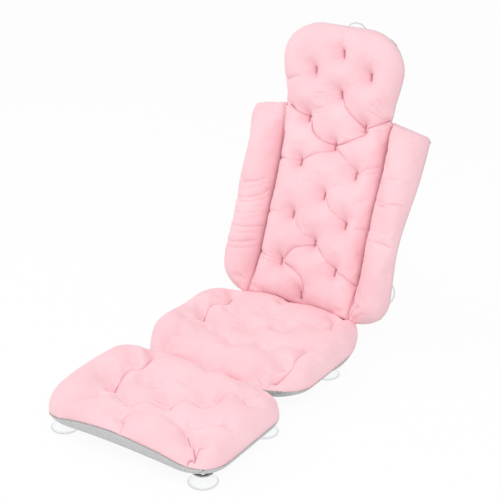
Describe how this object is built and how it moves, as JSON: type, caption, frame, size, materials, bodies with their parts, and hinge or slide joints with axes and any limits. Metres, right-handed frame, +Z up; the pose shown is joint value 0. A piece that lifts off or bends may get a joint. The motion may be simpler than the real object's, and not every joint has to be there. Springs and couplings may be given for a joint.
{
  "type": "bath pillow",
  "caption": "Full-length folding bath pillow with tufted leg, seat, back and head pads, side bolsters, a mesh underside and suction cups.",
  "frame": {"origin": "on the floor that the floor cups stand on, below the middle of the object's box, at rest with the back raised", "axes": "+Z up, +Y from the leg end to the head, +X to the right as seen from the leg end; left and right in names are as seen from there"},
  "size_m": [0.4254, 0.833, 0.6324],
  "materials": {
    "quilted_knit": "soft matt pale pink knit, quilted and tufted",
    "spacer_mesh": "light grey open spacer mesh with rows of small holes",
    "fibre_filling": "white loose fibre",
    "seam_binding": "pink rolled cloth binding",
    "tab_cloth": "grey woven tab",
    "clear_vinyl": "clear soft glossy vinyl"
  },
  "bodies": {
    "seat": {"seat_quilted_cover": "quilted_knit", "seat_fibre_filling": "fibre_filling", "seat_mesh_base": "spacer_mesh", "leg_fold_seam": "seam_binding", "back_fold_seam": "seam_binding", "seat_middle_left_cup_tab": "tab_cloth", "seat_rear_left_cup_tab": "tab_cloth", "seat_middle_right_cup_tab": "tab_cloth", "seat_rear_right_cup_tab": "tab_cloth"},
    "leg": {"leg_quilted_cover": "quilted_knit", "leg_fibre_filling": "fibre_filling", "leg_mesh_base": "spacer_mesh", "leg_front_left_cup_tab": "tab_cloth", "leg_rear_left_cup_tab": "tab_cloth", "leg_front_right_cup_tab": "tab_cloth", "leg_rear_right_cup_tab": "tab_cloth"},
    "back": {"back_quilted_cover": "quilted_knit", "back_fibre_filling": "fibre_filling", "back_mesh_base": "spacer_mesh", "neck_fold_seam": "seam_binding"},
    "head": {"head_quilted_cover": "quilted_knit", "head_fibre_filling": "fibre_filling", "head_mesh_base": "spacer_mesh", "head_cup_tab": "tab_cloth"},
    "bolster_left": {"bolster_left_quilted_cover": "quilted_knit", "bolster_left_fibre_filling": "fibre_filling", "bolster_left_mesh_base": "spacer_mesh", "bolster_left_crease_seam": "seam_binding", "bolster_left_low_cup_tab": "tab_cloth", "bolster_left_high_cup_tab": "tab_cloth"},
    "bolster_right": {"bolster_right_quilted_cover": "quilted_knit", "bolster_right_fibre_filling": "fibre_filling", "bolster_right_mesh_base": "spacer_mesh", "bolster_right_crease_seam": "seam_binding", "bolster_right_low_cup_tab": "tab_cloth", "bolster_right_high_cup_tab": "tab_cloth"},
    "leg_front_left_cup": {"leg_front_left_cup": "clear_vinyl"},
    "leg_rear_left_cup": {"leg_rear_left_cup": "clear_vinyl"},
    "seat_middle_left_cup": {"seat_middle_left_cup": "clear_vinyl"},
    "seat_rear_left_cup": {"seat_rear_left_cup": "clear_vinyl"},
    "bolster_left_low_cup": {"bolster_left_low_cup": "clear_vinyl"},
    "bolster_left_high_cup": {"bolster_left_high_cup": "clear_vinyl"},
    "leg_front_right_cup": {"leg_front_right_cup": "clear_vinyl"},
    "leg_rear_right_cup": {"leg_rear_right_cup": "clear_vinyl"},
    "seat_middle_right_cup": {"seat_middle_right_cup": "clear_vinyl"},
    "seat_rear_right_cup": {"seat_rear_right_cup": "clear_vinyl"},
    "bolster_right_low_cup": {"bolster_right_low_cup": "clear_vinyl"},
    "bolster_right_high_cup": {"bolster_right_high_cup": "clear_vinyl"},
    "head_cup": {"head_cup": "clear_vinyl"}
  },
  "joints": [
    {"name": "leg_fold", "type": "hinge", "parent": "seat", "child": "leg", "pos_m": [0, -0.13253, 0.056], "axis": [-1, 0, 0], "range_deg": [-30, 60]},
    {"name": "back_recline", "type": "hinge", "parent": "seat", "child": "back", "pos_m": [0, 0.20747, 0.056], "axis": [1, 0, 0], "range_deg": [-69, 12]},
    {"name": "neck_tilt", "type": "hinge", "parent": "back", "child": "head", "pos_m": [0, 0.35835, 0.44904], "axis": [1, 0, 0], "range_deg": [-36, 40]},
    {"name": "bolster_left_fold", "type": "hinge", "parent": "back", "child": "bolster_left", "pos_m": [-0.124, 0.28291, 0.25252], "axis": [0, 0.3584, 0.9336], "range_deg": [-45, 20]},
    {"name": "bolster_right_fold", "type": "hinge", "parent": "back", "child": "bolster_right", "pos_m": [0.124, 0.28291, 0.25252], "axis": [0, -0.3584, -0.9336], "range_deg": [-45, 20]},
    {"name": "leg_front_left_cup_turn", "type": "hinge", "parent": "leg", "child": "leg_front_left_cup", "pos_m": [-0.159, -0.37053, 0], "axis": [0, 0, 1], "continuous": true},
    {"name": "leg_rear_left_cup_turn", "type": "hinge", "parent": "leg", "child": "leg_rear_left_cup", "pos_m": [-0.159, -0.17753, 0], "axis": [0, 0, 1], "continuous": true},
    {"name": "seat_middle_left_cup_turn", "type": "hinge", "parent": "seat", "child": "seat_middle_left_cup", "pos_m": [-0.146, 0.07147, 0], "axis": [0, 0, 1], "continuous": true},
    {"name": "seat_rear_left_cup_turn", "type": "hinge", "parent": "seat", "child": "seat_rear_left_cup", "pos_m": [-0.112, 0.16547, 0], "axis": [0, 0, 1], "continuous": true},
    {"name": "bolster_left_low_cup_turn", "type": "hinge", "parent": "bolster_left", "child": "bolster_left_low_cup", "pos_m": [-0.164, 0.27177, 0.1063], "axis": [0, -0.9336, 0.3584], "continuous": true},
    {"name": "bolster_left_high_cup_turn", "type": "hinge", "parent": "bolster_left", "child": "bolster_left_high_cup", "pos_m": [-0.164, 0.36745, 0.35557], "axis": [0, -0.9336, 0.3584], "continuous": true},
    {"name": "leg_front_right_cup_turn", "type": "hinge", "parent": "leg", "child": "leg_front_right_cup", "pos_m": [0.159, -0.37053, 0], "axis": [0, 0, 1], "continuous": true},
    {"name": "leg_rear_right_cup_turn", "type": "hinge", "parent": "leg", "child": "leg_rear_right_cup", "pos_m": [0.159, -0.17753, 0], "axis": [0, 0, 1], "continuous": true},
    {"name": "seat_middle_right_cup_turn", "type": "hinge", "parent": "seat", "child": "seat_middle_right_cup", "pos_m": [0.146, 0.07147, 0], "axis": [0, 0, 1], "continuous": true},
    {"name": "seat_rear_right_cup_turn", "type": "hinge", "parent": "seat", "child": "seat_rear_right_cup", "pos_m": [0.112, 0.16547, 0], "axis": [0, 0, 1], "continuous": true},
    {"name": "bolster_right_low_cup_turn", "type": "hinge", "parent": "bolster_right", "child": "bolster_right_low_cup", "pos_m": [0.164, 0.27177, 0.1063], "axis": [0, -0.9336, 0.3584], "continuous": true},
    {"name": "bolster_right_high_cup_turn", "type": "hinge", "parent": "bolster_right", "child": "bolster_right_high_cup", "pos_m": [0.164, 0.36745, 0.35557], "axis": [0, -0.9336, 0.3584], "continuous": true},
    {"name": "head_cup_turn", "type": "hinge", "parent": "head", "child": "head_cup", "pos_m": [0, 0.41413, 0.60477], "axis": [0, -0.9962, 0.0872], "continuous": true}
  ]
}
